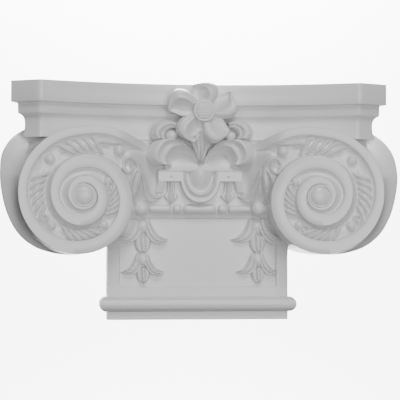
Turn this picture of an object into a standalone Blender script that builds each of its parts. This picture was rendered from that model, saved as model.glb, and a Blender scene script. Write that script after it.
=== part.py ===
"""Ionic pilaster capital, moulded in one piece with a flat back that goes against a wall.

Sizes are in metres. A place on the capital is given by x to the right, z up from the underside
and its depth in front of the wall, and place() turns that into the finished object's own frame,
whose origin is the middle of the flat back at the height of the volutes' eyes.
"""

import math

import bmesh
import bpy
import numpy as np
from mathutils import Vector

MM = 0.001

# Overall
HEIGHT = 376 * MM
EYE_HEIGHT = 196 * MM
BURIED = 6 * MM  # how far each rough block runs past the wall before the back is cut flat
HOLD = 16 * MM  # how far a carving runs back into the ground behind it
DEEP_HOLD = 45 * MM  # the same for a leaf that stands well clear of the ground
ROW_HEIGHT = 178 * MM  # of the bead row, from which the bell, panel, cup and husks are set out
CARVING_X = 2 * MM  # the carving's middle lies this far right of the capital's

# Abacus: three stacked members with a hollow front and cut-off corners
ABACUS_FRONT_HALF = 251.5 * MM  # half the width of the hollow front
ABACUS_CORNER_DEPTH = 134.5 * MM
ABACUS_HOLLOW = 49 * MM  # how far the middle of the front lies behind its ends
SIDE_HOLLOW = 26 * MM  # how far the sides draw in towards the wall
CORNER_CUT_WIDTH = 47 * MM
CORNER_CUT_DEPTH = 21 * MM
SIDE_STEP = 1.2  # the lower members step in by this share of their inset at the sides
FRONT_STEPS = 10
FASCIA = 33 * MM
SECOND_FASCIA = 17.5 * MM
NECKING = 37 * MM
FASCIA_STEP = 10 * MM
NECKING_STEP = 19 * MM
NECKING_FLARE = 3 * MM
ABACUS_FOOT = HEIGHT - FASCIA - SECOND_FASCIA - NECKING

# Neck with its sunk panel and its astragal
NECK_HALF_WIDTH = 143.5 * MM
NECK_DEPTH = 60 * MM
NECK_DRAFT = 2.5 * MM
PANEL_HALF_WIDTH = 127.5 * MM
PANEL_BOTTOM = 52 * MM
PANEL_TOP = ROW_HEIGHT - 15 * MM
PANEL_SINK = 3 * MM
ASTRAGAL_BOTTOM = 13 * MM
ASTRAGAL_HEIGHT = 24.5 * MM
ASTRAGAL_OVERHANG = 14.5 * MM
NECK_TOP = EYE_HEIGHT + 60 * MM

# Bell behind the carving
BELL_DEPTH = 68 * MM
BELL_BOTTOM = ROW_HEIGHT - 12 * MM
BELL_LIP = 10 * MM
BELL_HALF_WIDTH = 141 * MM
BELL_WING = 34 * MM  # how far the bell comes forward at its sides, to meet the volutes
BELL_WAIST = 64 * MM  # half the width of its flat middle

# Volutes
EYE_X = 184 * MM
VOLUTE_DEPTH = 140 * MM  # of the rim, level with the eye
VOLUTE_SLANT = math.radians(9)  # the outer side of each volute stands further forward
SPIRAL_RADII = [v * MM for v in (107, 99.5, 90, 75, 63, 53, 47, 36.5, 30, 24.5, 20)]  # each quarter
SPIRAL_LEAD = 0.15  # in turns, how far the rim runs in towards the middle above the carving
LEAD_SPREAD = 1180 * MM  # how fast the rim leaves the spiral along that lead
LEAD_CURVE = 90 * MM  # it falls back there by its distance squared over this
LEAD_FROM = 62 * MM  # distance inwards from the eye at which the fall begins
RIM_WIDTHS = [v * MM for v in (12.5, 13.5, 20, 20, 18, 11, 15, 12, 9, 3, 3)]
TURN_RISE = 6.5 * MM  # each turn stands this much further forward
CHANNEL_SINK = 9 * MM
CHANNEL_WALL = 3 * MM
CONE_WALL = 5 * MM  # extra slope of that wall on the outer side
SPIRAL_TURNS = 2.25
TURN_STEPS = 24
EYE_RADIUS = 15.3 * MM
EYE_RING = 19 * MM
EYE_RISE = 20 * MM
EYE_RELIEF = 8 * MM
FLARES = [v * MM for v in (8, 27, 42, 43, 33, 26, 22.5, 20, 15, 8, 3)]  # see flank_offset
FLARE_FROM = 75  # degrees above the outward side, where the first of them stands
FLARE_STEP = 15  # degrees
FLANK_PROFILE = [(share, drop * MM) for share, drop in (
    (0.04, 8), (0.12, 15), (0.25, 21), (0.45, 26.5), (0.7, 30.5), (1.0, 34))]
HIGH_DROP = 1.3  # those drops grow by this share beside the abacus
HIGH_SPAN = (15, 45)  # degrees above the outward side, between which they grow
CHANNEL_BEADS = (-0.105, 0.119, 0.370, 0.597, 0.838)
CHANNEL_BEAD = 7.6 * MM
CHANNEL_LEAF_RELIEF = 8.5 * MM
CHANNEL_HOLD = 4 * MM

# Row of beads and reels under the cup
ROW_DEPTH = BELL_DEPTH + 2 * MM
ROW_RADIUS = 8.2 * MM
REELS = [(x * MM, half * MM) for x, half in ((0, 22), (-62, 14), (66, 14))]
SMALL_BEADS = (-34 * MM, 38.5 * MM)
SMALL_BEAD_HALF = 6.8 * MM
BALL_X = 93.5 * MM
BALL_RADIUS = 11.4 * MM

# Cup with egg and darts, set out from the beam that carries it
CUP_X = 1 * MM
CUP_DEPTH = BELL_DEPTH + 16 * MM
BEAM_HALF_WIDTH = 68 * MM
BEAM_TOP = ROW_HEIGHT + 61.5 * MM
BEAM_HEIGHT = 17 * MM
BEAM_BEVEL = 2 * MM
EGG_HALF_WIDTH = 18 * MM
EGG_DROP = 42.5 * MM  # its foot under the beam's top
EGG_RELIEF = 20 * MM
SHELL_HALF_WIDTH = 27 * MM
SHELL_DROP = 28.5 * MM  # its ridge under the beam
SHELL_RIB = 6.5 * MM
DART_X = 45.5 * MM
DART_HALF_WIDTH = 12 * MM
DART_RELIEF = 11 * MM
DART_DROPS = (13 * MM, 34.5 * MM, 41.5 * MM, 54.5 * MM)
LEG_X = 62 * MM
LEG_SPLAY = 3 * MM
LEG_DROP = 36.5 * MM
LEG_HALF_WIDTH = 6 * MM

# Husks that hang at each side of the panel
HUSK_TOPS = (ROW_HEIGHT - 13 * MM, ROW_HEIGHT - 71 * MM)
HUSK_LENGTH = 39 * MM
HUSK_SPREAD = 25 * MM
HUSK_HALF_WIDTH = 10 * MM
HUSK_RELIEF = 7 * MM
HUSK_SHRINK = 0.82  # the lower husk against the upper one
BUD_RADIUS = 13.5 * MM
BUD_LENGTH = 34 * MM
BUD_RELIEF = 9 * MM

# Curled leaves: their middles, and the radii of the strips round them
CARVING_DEPTH = BELL_DEPTH + 28 * MM
FLOWER_HEIGHT = HEIGHT - 44.4 * MM
LOWER_LEAF = (52 * MM, BEAM_TOP + 22.5 * MM)
LOWER_RADII = (30 * MM, 22 * MM, 14 * MM)
UPPER_LEAF = (58 * MM, FLOWER_HEIGHT - 28.6 * MM)
UPPER_RADII = (19 * MM, 12 * MM)
LEAF_BUD = (42 * MM, FLOWER_HEIGHT - 30.6 * MM)
LEAF_BUD_RADIUS = 11 * MM
LEAF_BUD_RELIEF = 33 * MM
STRIP_HALF_WIDTH = 4.8 * MM
STRIP_RELIEF = 13 * MM
STRIP_STEP = 3 * MM  # each inner strip lies this much lower
RIB_HALF_WIDTH = 5 * MM
RIB_RELIEF = 6 * MM
RIB_SPREADS = (0, 9 * MM, 20 * MM)

# Leaves beside the volutes: steps outwards, up and forward from the bead row's end ball
HORN_STEPS = [np.array(step) * MM for step in (
    (5.5, 72, 32), (-3.5, 44, 24), (-15.5, 22, 16), (-34.5, 18, 12))]
STEM_STEPS = [np.array(step) * MM for step in (
    (0.5, 12, 16), (4.5, 47, 30), (12.5, 70, 38), (23.5, 73, 44))]
SIDE_LEAF_HALF_WIDTH = 8 * MM
SIDE_LEAF_RELIEF = 10 * MM

# Flower
FLOWER_X = 6 * MM
FLOWER_DEPTH = CARVING_DEPTH + 14 * MM
FLOWER_BUTTON = 14.5 * MM
BUTTON_RELIEF = 7 * MM
PETALS = 5
PETAL_REACH = 41 * MM
PETAL_BEND = 13 * MM
PETAL_HALF_WIDTH = 16.5 * MM
PETAL_RELIEF = 9 * MM
PETAL_PATH = ((0.15, 0, 0), (0.55, -0.25, 0.33), (0.85, 0.15, 0.11), (1.02, 1, -0.55))
PETAL_HOLD = 36 * MM

CUTTER_MARGIN = 50 * MM
CAST = (0.56, 0.56, 0.56, 1.0)


def place(x, z, depth):
    return Vector((x, -depth, z - EYE_HEIGHT))


def new_collection(name):
    collection = bpy.data.collections.new(name)
    bpy.context.scene.collection.children.link(collection)
    return collection


def add_solid(name, bm, collection):
    """Tidies a closed bmesh and makes an object of it."""
    bmesh.ops.remove_doubles(bm, verts=bm.verts, dist=0.00002)
    bmesh.ops.dissolve_degenerate(bm, edges=bm.edges, dist=0.00002)
    bmesh.ops.recalc_face_normals(bm, faces=bm.faces)
    mesh = bpy.data.meshes.new(name)
    bm.to_mesh(mesh)
    bm.free()
    solid = bpy.data.objects.new(name, mesh)
    collection.objects.link(solid)
    return solid


def loft(name, rings, collection):
    """A closed solid through unlike rings of points, each ring with as many points."""
    bm = bmesh.new()
    rows = [[bm.verts.new(point) for point in ring] for ring in rings]
    for row, following in zip(rows, rows[1:]):
        for i in range(len(row)):
            j = (i + 1) % len(row)
            bm.faces.new((row[i], row[j], following[j], following[i]))
    bm.faces.new(rows[0][::-1])
    bm.faces.new(rows[-1])
    return add_solid(name, bm, collection)


def box(name, half_width, bottom, top, depth, bevel, collection):
    """A block that stands on the wall, with rounded edges."""
    bm = bmesh.new()
    bmesh.ops.create_cube(bm, size=1)
    for vert in bm.verts:
        x, y, z = vert.co
        vert.co = place(2 * half_width * x, bottom + (z + 0.5) * (top - bottom),
                        (0.5 - y) * (depth + BURIED) - BURIED)
    solid = add_solid(name, bm, collection)
    if bevel:
        rounding = solid.modifiers.new("Rounded edges", "BEVEL")
        rounding.width = bevel
        rounding.segments = 3
    return solid


def ball(name, x, z, depth, radii, collection, segments=12):
    """A round or oval boss."""
    bm = bmesh.new()
    bmesh.ops.create_uvsphere(bm, u_segments=segments, v_segments=segments // 2 + 1, radius=1)
    for vert in bm.verts:
        vert.co = place(x + radii[0] * vert.co.x, z + radii[1] * vert.co.z,
                        depth - radii[2] * vert.co.y)
    return add_solid(name, bm, collection)


def smooth_path(points, count):
    """Even steps along a smooth curve through a few points."""
    knots = np.array([2 * np.array(points[0]) - points[1], *points,
                      2 * np.array(points[-1]) - points[-2]], float)
    path = []
    for step in np.linspace(0, len(points) - 1, count):
        i = min(int(step), len(points) - 2)
        t = step - i
        a, b, c, d = knots[i:i + 4]
        path.append(0.5 * (2 * b + (c - a) * t + (2 * a - 5 * b + 4 * c - d) * t * t
                           + (3 * b - a - 3 * c + d) * t ** 3))
    return np.array(path)


def rounded(u, v):
    return math.sqrt(max(0.0, 1 - v * v))


def ridged(u, v):
    """Two hollows beside a middle rib."""
    return rounded(u, v) * (0.55 + 0.45 * abs(v)) + 0.4 * max(0.0, 1 - 4 * abs(v))


def plated(u, v):
    """A flat face with rounded edges."""
    return min(1.0, 4 * (1 - abs(v))) ** 0.5


def folded(u, v):
    """Full on one side of its rib and hollow on the other."""
    side = math.sin(math.pi * max(0.0, v)) * 0.25
    hollow = -0.55 * math.sin(math.pi * max(0.0, -v))
    return rounded(u, v) ** 0.5 * (0.75 + side + hollow)


def blade(name, points, half_width, relief, collection, shape=rounded, taper=(0.5, 1, 0.1),
          steps=9, across=6, foot=HOLD):
    """A leaf, stem or ridge along a curve through (x, z, depth) points, sunk in at its foot."""
    path = smooth_path([np.array(p, float) for p in points], steps)
    tangents = np.gradient(path[:, [0, 1]], axis=0)
    rings = []
    for i, (x, z, depth) in enumerate(path):
        along = i / (steps - 1)
        tx, tz = tangents[i] / np.linalg.norm(tangents[i])
        swell = np.interp(along, np.linspace(0, 1, len(taper)), taper)
        ring = []
        for v in np.cos(np.linspace(math.pi, 0, across + 1)):
            out = half_width * swell * v
            rise = relief * max(swell, 0.35) * max(shape(along, v), 0.0)
            ring.append(place(x - tz * out, z + tx * out, depth + rise))
        for v in (1, -1):
            out = half_width * swell * v
            ring.append(place(x - tz * out, z + tx * out, depth - foot))
        rings.append(ring)
    return loft(name, rings, collection)


def abacus_outline(inset, height):
    """Ring of points: hollow front, cut-off corners and straight sides, at one height."""
    front = []
    for x in np.linspace(-ABACUS_FRONT_HALF, ABACUS_FRONT_HALF, FRONT_STEPS + 1):
        front.append((x, hollow_front(x, inset)))
    cut = CORNER_CUT_WIDTH - SIDE_STEP * inset
    outer = ABACUS_FRONT_HALF + cut
    corner = front[-1][1] - CORNER_CUT_DEPTH * cut / CORNER_CUT_WIDTH
    flank = [(outer - SIDE_HOLLOW, -BURIED)]
    for share in (0, 0.4, 0.7, 1):
        flank.append((outer - SIDE_HOLLOW * (1 - share ** 2), share * corner))
    outline = [(-x, depth) for x, depth in flank] + front + flank[::-1]
    return [place(x, height, depth) for x, depth in outline]


def add_abacus(collection):
    under_fascia = HEIGHT - FASCIA
    under_second = under_fascia - SECOND_FASCIA
    levels = ((ABACUS_FOOT, NECKING_STEP - NECKING_FLARE),
              (ABACUS_FOOT + 0.3 * NECKING, NECKING_STEP - 1 * MM),
              (ABACUS_FOOT + 0.65 * NECKING, NECKING_STEP), (under_second, NECKING_STEP - 1 * MM),
              (under_second, FASCIA_STEP), (under_fascia - 3 * MM, FASCIA_STEP - 1 * MM),
              (under_fascia, FASCIA_STEP - 5 * MM), (under_fascia, 0), (HEIGHT, 0))
    loft("abacus", [abacus_outline(inset, height) for height, inset in levels], collection)


def add_neck(collection):
    def ring(z):
        wide = NECK_HALF_WIDTH + NECK_DRAFT
        corners = ((-wide, -BURIED), (-NECK_HALF_WIDTH, NECK_DEPTH),
                   (NECK_HALF_WIDTH, NECK_DEPTH), (wide, -BURIED))
        return [place(x, z, depth) for x, depth in corners]
    neck = loft("neck", [ring(0), ring(NECK_TOP)], collection)
    astragal_top = ASTRAGAL_BOTTOM + ASTRAGAL_HEIGHT
    box("astragal", NECK_HALF_WIDTH + ASTRAGAL_OVERHANG, ASTRAGAL_BOTTOM, astragal_top,
        NECK_DEPTH + ASTRAGAL_OVERHANG, 0.47 * ASTRAGAL_HEIGHT, collection)
    return neck


def hollow_front(x, inset):
    """Depth of the abacus's hollow front at one inset from its fascia."""
    return ABACUS_CORNER_DEPTH - inset - ABACUS_HOLLOW * (1 - (x / ABACUS_FRONT_HALF) ** 2)


def bell_depth(x, z):
    """Ground behind the carving: a flat waist, hollow wings, and the abacus's hollow on top."""
    wing = np.clip((abs(x) - BELL_WAIST) / (BELL_HALF_WIDTH - BELL_WAIST), 0, 1)
    rise = np.clip((z - ROW_HEIGHT) / (BEAM_TOP - ROW_HEIGHT), 0, 1)
    lip = np.clip((z - BELL_BOTTOM) / BELL_LIP, 0, 1)
    ground = NECK_DEPTH + (BELL_DEPTH - NECK_DEPTH) * lip ** 0.5
    bell = ground + BELL_WING * wing ** 1.5 * (0.35 + 0.65 * rise)
    upper = np.clip((z - BEAM_TOP) / (ABACUS_FOOT - BEAM_TOP), 0, 1) ** 0.7
    return bell + upper * (hollow_front(x, NECKING_STEP) - 2 * MM - bell)


def add_bell(collection):
    """The bell's rings run up from its foot, each one a section across it."""
    rings = []
    for z in np.linspace(BELL_BOTTOM, HEIGHT - FASCIA, 10):
        ring = [place(-BELL_HALF_WIDTH, z, -BURIED)]
        for x in np.linspace(-BELL_HALF_WIDTH, BELL_HALF_WIDTH, 13):
            ring.append(place(x, z, bell_depth(x, z)))
        ring.append(place(BELL_HALF_WIDTH, z, -BURIED))
        rings.append(ring)
    loft("bell", rings, collection)


def spiral_radius(turn):
    """Outer edge of the rim, by turns from the top; before the top it opens towards the middle."""
    if turn < 0:
        return SPIRAL_RADII[0] + LEAD_SPREAD * turn * turn + 0.06 * abs(turn)
    quarter = min(4 * turn, len(SPIRAL_RADII) - 1.001)
    i = int(quarter)
    f = quarter - i
    near = [SPIRAL_RADII[max(0, min(len(SPIRAL_RADII) - 1, k))] for k in (i - 1, i, i + 1, i + 2)]
    a, b, c, d = near
    return 0.5 * (2 * b + (c - a) * f + (2 * a - 5 * b + 4 * c - d) * f * f
                  + (3 * b - a - 3 * c + d) * f ** 3)


def rim_width(turn):
    return float(np.interp(4 * max(0, turn), range(len(RIM_WIDTHS)), RIM_WIDTHS))


def on_volute(side, turn, radius, rise):
    """Place at a radius and an angle about the eye, a rise above the slanting plane of the rim."""
    angle = math.tau * turn
    out = radius * math.sin(angle)
    up = radius * math.cos(angle)
    lead = max(0.0, -out - LEAD_FROM)
    depth = VOLUTE_DEPTH + out * math.tan(VOLUTE_SLANT) + rise - lead * lead / LEAD_CURVE
    return side * (EYE_X + out), EYE_HEIGHT + up, depth


def volute_row(side, turn):
    """Across the band at one angle: rim, channel, and the wall up to the next turn's rim."""
    outer = spiral_radius(turn)
    ended = turn + 1 > SPIRAL_TURNS + 0.5 / TURN_STEPS
    inner = EYE_RING if ended else spiral_radius(turn + 1)
    rise = TURN_RISE * max(0.0, turn)
    floor = rise - CHANNEL_SINK
    fillet = outer - rim_width(turn)
    wall = CHANNEL_WALL + CONE_WALL * max(0.0, math.cos(math.tau * (turn - 0.3)))
    foot = min(inner + wall, 0.4 * inner + 0.6 * fillet)
    stations = ((outer, rise), (fillet, rise), (fillet - 0.25 * (fillet - foot), floor + 2 * MM),
                (0.5 * (fillet + foot), floor), (foot, floor + 1 * MM),
                (inner, TURN_RISE * min(turn + 1, SPIRAL_TURNS)))
    return [on_volute(side, turn, radius, height) for radius, height in stations]


def flank_offset(turn):
    """How far the flank stands out past the rim; the flares go round in even steps."""
    above = 90 - 360 * turn
    steps = np.arange(-1, len(FLARES) + 1)
    return float(np.interp((FLARE_FROM - above) / FLARE_STEP, steps, (0, *FLARES, 0)))


def flank_drop(drop, turn):
    """How far behind the rim a point of the flank's profile lies."""
    return drop * (1 + HIGH_DROP * float(np.interp(90 - 360 * turn, HIGH_SPAN, (0, 1))))


def add_volute(side, collection):
    """Spiral front, flank and a flat back as one closed solid."""
    first = -round(SPIRAL_LEAD * TURN_STEPS)
    last = round((SPIRAL_TURNS - 1) * TURN_STEPS)
    bm = bmesh.new()
    rows = []
    for step in range(first, last + TURN_STEPS + 1):
        turn = step / TURN_STEPS
        rows.append([bm.verts.new(place(*point)) for point in volute_row(side, turn)])
    for row, following in zip(rows, rows[1:]):
        for i in range(len(row) - 1):
            bm.faces.new((row[i], row[i + 1], following[i + 1], following[i]))
    bm.faces.new([row[-1] for row in rows[-TURN_STEPS:]] + rows[-1][-2:0:-1]
                 + [rows[-TURN_STEPS - 1][-1]])
    edge = [place(*volute_row(side, step / TURN_STEPS)[0])
            for step in range(first, first + TURN_STEPS + 1)]
    turns = [step / TURN_STEPS for step in range(first, first + TURN_STEPS + 1)]
    opening = [place(*point) for point in volute_row(side, first / TURN_STEPS)][1:-1][::-1]
    rims = [[bm.verts.new(point) for point in edge + opening]]
    for share, drop in (*FLANK_PROFILE, (1.0, None)):
        ring = []
        for point, turn in zip(edge, turns):
            offset = share * flank_offset(turn)
            angle = math.tau * turn
            x = point.x + side * offset * math.sin(angle)
            z = point.z + offset * math.cos(angle)
            y = BURIED if drop is None else min(point.y + flank_drop(drop, turn), 0)
            ring.append(bm.verts.new((x, y, z)))
        for point in opening:
            y = BURIED if drop is None else min(point.y + flank_drop(drop, turns[0]), 0)
            ring.append(bm.verts.new((point.x, y, point.z)))
        rims.append(ring)
    for row, following in zip(rims, rims[1:]):
        for i in range(len(row)):
            j = (i + 1) % len(row)
            bm.faces.new((row[i], row[j], following[j], following[i]))
    bm.faces.new(rims[-1])
    return add_solid("volute", bm, collection)


def add_eye(side, collection):
    x, z, depth = on_volute(side, 0, 0, EYE_RISE)
    ball("eye", x, z, depth - EYE_RELIEF, (EYE_RADIUS, EYE_RADIUS, EYE_RELIEF), collection, 14)


def channel_middle(side, turn, share=0.5, lift=0.0):
    row = volute_row(side, turn)
    outer, inner = np.array(row[1]), np.array(row[4])
    x, z, depth = outer + share * (inner - outer)
    floor = row[3][2]
    return (x, z, floor + lift)


def lobed(u, v):
    """Slanting lobes with grooves between them."""
    lobe = abs(math.sin(math.pi * (3.6 * u + 0.45 * v)))
    return rounded(u, v) * (0.45 + 0.55 * lobe)


def add_channel_carving(side, collection):
    for turn in CHANNEL_BEADS:
        x, z, depth = channel_middle(side, turn)
        ball("channel bead", x, z, depth, (CHANNEL_BEAD,) * 3, collection, 7)
    gap = 0.025
    ends = list(zip(CHANNEL_BEADS, CHANNEL_BEADS[1:]))
    for start, end in ends:
        turns = np.linspace(start + gap, end - gap, 7)
        row = [volute_row(side, float(t)) for t in turns]
        width = 0.42 * np.mean([math.dist(r[1][:2], r[4][:2]) for r in row])
        points = [channel_middle(side, float(t)) for t in turns]
        blade("channel leaf", points, width, CHANNEL_LEAF_RELIEF, collection, lobed,
              (0.75, 1, 1, 0.5), 9, 4, CHANNEL_HOLD)


def add_row(collection):
    """Beads and reels lie along the foot of the bell."""
    for x, half in REELS:
        points = [(x + share * half, ROW_HEIGHT, ROW_DEPTH) for share in (-1, 0, 1)]
        blade("reel", points, ROW_RADIUS, ROW_RADIUS, collection, rounded, (0.7, 1, 1, 1, 0.7), 7)
    for x in SMALL_BEADS:
        ball("small bead", x, ROW_HEIGHT, ROW_DEPTH, (SMALL_BEAD_HALF, ROW_RADIUS, ROW_RADIUS),
             collection, 8)
    for side in (-1, 1):
        x = CARVING_X + side * BALL_X
        ball("ball", x, ROW_HEIGHT, bell_depth(x, ROW_HEIGHT), (BALL_RADIUS,) * 3, collection,
             10)


def add_cup(collection):
    bottom = BEAM_TOP - BEAM_HEIGHT
    beam = box("beam", BEAM_HALF_WIDTH, bottom, BEAM_TOP, CUP_DEPTH, BEAM_BEVEL, collection)
    beam.location.x = CUP_X
    height = bottom + 0.5 * BEAM_HEIGHT
    reach = EGG_DROP - 0.5 * BEAM_HEIGHT
    ball("egg", CUP_X, height, BELL_DEPTH, (EGG_HALF_WIDTH, reach, EGG_RELIEF), collection, 14)
    arc = [(CUP_X + SHELL_HALF_WIDTH * math.cos(a), bottom + SHELL_DROP * math.sin(a), BELL_DEPTH)
           for a in np.linspace(math.pi, math.tau, 9)]
    plate = CUP_DEPTH - BELL_DEPTH
    blade("shell", arc, SHELL_RIB, plate, collection, plated, (1, 1), 13, 4)
    for side in (-1, 1):
        stem = [(CUP_X + side * DART_X, BEAM_TOP - drop, BELL_DEPTH) for drop in DART_DROPS]
        blade("dart", stem, DART_HALF_WIDTH, DART_RELIEF, collection, ridged,
              (0.5, 0.5, 0.55, 1, 0.08), 10, 4)
        leg = [(CUP_X + side * LEG_X, BEAM_TOP - 0.75 * BEAM_HEIGHT, BELL_DEPTH),
               (CUP_X + side * (LEG_X + LEG_SPLAY), BEAM_TOP - LEG_DROP, BELL_DEPTH)]
        blade("leg", leg, LEG_HALF_WIDTH, plate, collection, plated, (1, 1), 3, 4)


def add_husk(x, top, scale, collection):
    """A bellflower: a middle petal, two that curl outwards and the bud below them."""
    ground = NECK_DEPTH - PANEL_SINK
    relief = HUSK_RELIEF * scale

    def spot(across, down, rise):
        """Shares of the spread, the length and the relief."""
        return (x + scale * across * HUSK_SPREAD, top - scale * down * HUSK_LENGTH,
                ground + rise * relief)
    for side in (-1, 1):
        petal = [spot(0.16 * side, 0.03, 0.6), spot(0.36 * side, 0.45, 1),
                 spot(0.6 * side, 0.85, 1.1), spot(side, 1, 1)]
        blade("husk petal", petal, HUSK_HALF_WIDTH * scale, relief, collection, ridged,
              (0.7, 1, 0.9, 0.15), 6, 4)
    middle = [spot(0, 0, 0.7), spot(0, 0.5, 1.4), spot(0, 1.02, 1.1)]
    blade("husk middle", middle, HUSK_HALF_WIDTH * scale, 0.85 * relief, collection, ridged,
          (0.8, 1, 0.1), 6, 4)
    ball("husk bud", x, top - 1.05 * scale * HUSK_LENGTH, ground + 0.4 * relief,
         (BUD_RADIUS * scale, 0.6 * BUD_LENGTH * scale, BUD_RELIEF * scale), collection, 8)


def add_curled_leaf(side, centre, radii, start, sweep, collection):
    """Concentric C-shaped strips that curl round a centre."""
    for k, radius in enumerate(radii):
        points = []
        for turn in np.linspace(start, start + sweep, 7):
            angle = math.radians(turn)
            x = side * (centre[0] + radius * math.cos(angle)) + CUP_X
            z = centre[1] + 1.15 * radius * math.sin(angle)
            points.append((x, z, CARVING_DEPTH - k * STRIP_STEP))
        blade("curled leaf", points, STRIP_HALF_WIDTH, STRIP_RELIEF, collection, rounded,
              (0.6, 1, 1, 0.5), 7, 4, DEEP_HOLD)


def add_side_leaf(side, steps, taper, collection):
    """A leaf beside the volute, from steps away from the row's end ball."""
    points = [(side * (BALL_X + out), ROW_HEIGHT + up, BELL_DEPTH + forward)
              for out, up, forward in steps]
    blade("side leaf", points, SIDE_LEAF_HALF_WIDTH, SIDE_LEAF_RELIEF, collection, ridged,
          taper, 7, 4, DEEP_HOLD)


def add_palmette(collection):
    for side in (-1, 1):
        add_curled_leaf(side, LOWER_LEAF, LOWER_RADII, 200, -290, collection)
        add_curled_leaf(side, UPPER_LEAF, UPPER_RADII, 150, -230, collection)
        ball("leaf bud", side * LEAF_BUD[0] + CUP_X, LEAF_BUD[1], BELL_DEPTH,
             (LEAF_BUD_RADIUS, LEAF_BUD_RADIUS, LEAF_BUD_RELIEF), collection, 8)
        add_side_leaf(side, HORN_STEPS, (0.4, 1, 0.9, 0.1), collection)
        add_side_leaf(side, STEM_STEPS, (0.3, 0.9, 1, 0.6), collection)
    rise = FLOWER_HEIGHT - BEAM_TOP
    forward = CARVING_DEPTH - BELL_DEPTH
    for spread in sorted({side * value for value in RIB_SPREADS for side in (-1, 1)}):
        rib = [(CUP_X + share * spread, BEAM_TOP + up * rise, BELL_DEPTH + out * forward)
               for share, up, out in ((0, 0.04, 0.3), (0.45, 0.28, 0.5), (1.5, 0.62, 0.8))]
        blade("fan", rib, RIB_HALF_WIDTH, RIB_RELIEF, collection, rounded, (0.4, 0.9, 1), 4, 4,
              DEEP_HOLD)


def add_flower(collection):
    """Five petals turned like a pinwheel round a flat button."""
    for i in range(PETALS):
        angle = math.radians(90 + 360 / PETALS * i)
        ax, az = math.cos(angle), math.sin(angle)
        points = []
        for along, bend, lift in PETAL_PATH:
            reach = PETAL_REACH * along
            turn = PETAL_BEND * bend
            points.append((FLOWER_X + ax * reach - az * turn, FLOWER_HEIGHT + az * reach
                           + ax * turn, FLOWER_DEPTH + (lift - 1) * PETAL_RELIEF))
        blade("petal", points, PETAL_HALF_WIDTH, PETAL_RELIEF, collection, folded,
              (0.3, 0.85, 1, 0.8, 0.1), 7, 6, PETAL_HOLD)
    back = FLOWER_DEPTH - 0.5 * BUTTON_RELIEF
    bm = bmesh.new()
    bmesh.ops.create_cone(bm, cap_ends=True, segments=14, radius1=1.2 * FLOWER_BUTTON,
                          radius2=1.05 * FLOWER_BUTTON, depth=1)
    for vert in bm.verts:
        x, y, z = vert.co
        vert.co = place(FLOWER_X + x, FLOWER_HEIGHT + y, (z + 0.5) * back)
    add_solid("hub", bm, collection)
    ball("button", FLOWER_X, FLOWER_HEIGHT, back, (FLOWER_BUTTON, FLOWER_BUTTON, BUTTON_RELIEF),
         collection, 14)


def cut(solid, cutter, name):
    """The cutter is taken out of the solid."""
    cutter.hide_render = True
    cutter.display_type = "WIRE"
    boolean = solid.modifiers.new(name, "BOOLEAN")
    boolean.operation = "DIFFERENCE"
    boolean.object = cutter
    boolean.solver = "MANIFOLD"
    return boolean


def cast_material():
    material = bpy.data.materials.new("primed casting")
    material.use_nodes = True
    shader = material.node_tree.nodes["Principled BSDF"]
    shader.inputs["Base Color"].default_value = CAST
    shader.inputs["Roughness"].default_value = 0.6
    shader.inputs["Metallic"].default_value = 0.0
    return material


def main():
    for old in list(bpy.data.objects):
        bpy.data.objects.remove(old, do_unlink=True)
    finished = new_collection("Ionic capital")
    pieces = new_collection("Joined shapes")
    cutters = new_collection("Cutters")

    capital = add_neck(finished)
    capital.name = "capital"
    capital.data.materials.append(cast_material())
    panel = box("panel", PANEL_HALF_WIDTH, PANEL_BOTTOM, PANEL_TOP, NECK_DEPTH + CUTTER_MARGIN, 0,
                cutters)
    for vert in panel.data.vertices:
        if vert.co.y > -NECK_DEPTH + PANEL_SINK:
            vert.co.y = -NECK_DEPTH + PANEL_SINK
    cut(capital, panel, "Sunk panel")

    for item in list(finished.objects):
        if item is not capital:
            finished.objects.unlink(item)
            pieces.objects.link(item)
    add_abacus(pieces)
    add_bell(pieces)
    for side in (-1, 1):
        add_volute(side, pieces)
        add_eye(side, pieces)
        add_channel_carving(side, pieces)
        for scale, top in zip((1, HUSK_SHRINK), HUSK_TOPS):
            add_husk(CARVING_X + side * BALL_X, top, scale, pieces)
    add_row(pieces)
    add_cup(pieces)
    add_palmette(pieces)
    add_flower(pieces)
    for piece in pieces.objects:
        piece.hide_render = True
        piece.display_type = "WIRE"

    union = capital.modifiers.new("One casting", "BOOLEAN")
    union.operation = "UNION"
    union.operand_type = "COLLECTION"
    union.collection = pieces
    union.solver = "MANIFOLD"

    half = ABACUS_FRONT_HALF + CORNER_CUT_WIDTH + CUTTER_MARGIN
    wall = box("wall", half, -CUTTER_MARGIN, HEIGHT + CUTTER_MARGIN, 0, 0, cutters)
    for vert in wall.data.vertices:
        vert.co.y = 0 if vert.co.y < 0.5 * BURIED else 10 * BURIED
    cut(capital, wall, "Flat back")


main()
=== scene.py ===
# %% [markdown]
# This notebook dresses a moulded ionic pilaster capital. The real piece comes out of one mould
# as rigid polyurethane foam with a hard skin, and it is primed at the factory, so the whole
# surface is one satin off-white and everything that the eye reads is relief. Each part of the
# carving is shaped here as a closed solid, and one Boolean union at the end makes the casting.

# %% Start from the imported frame
import math

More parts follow.
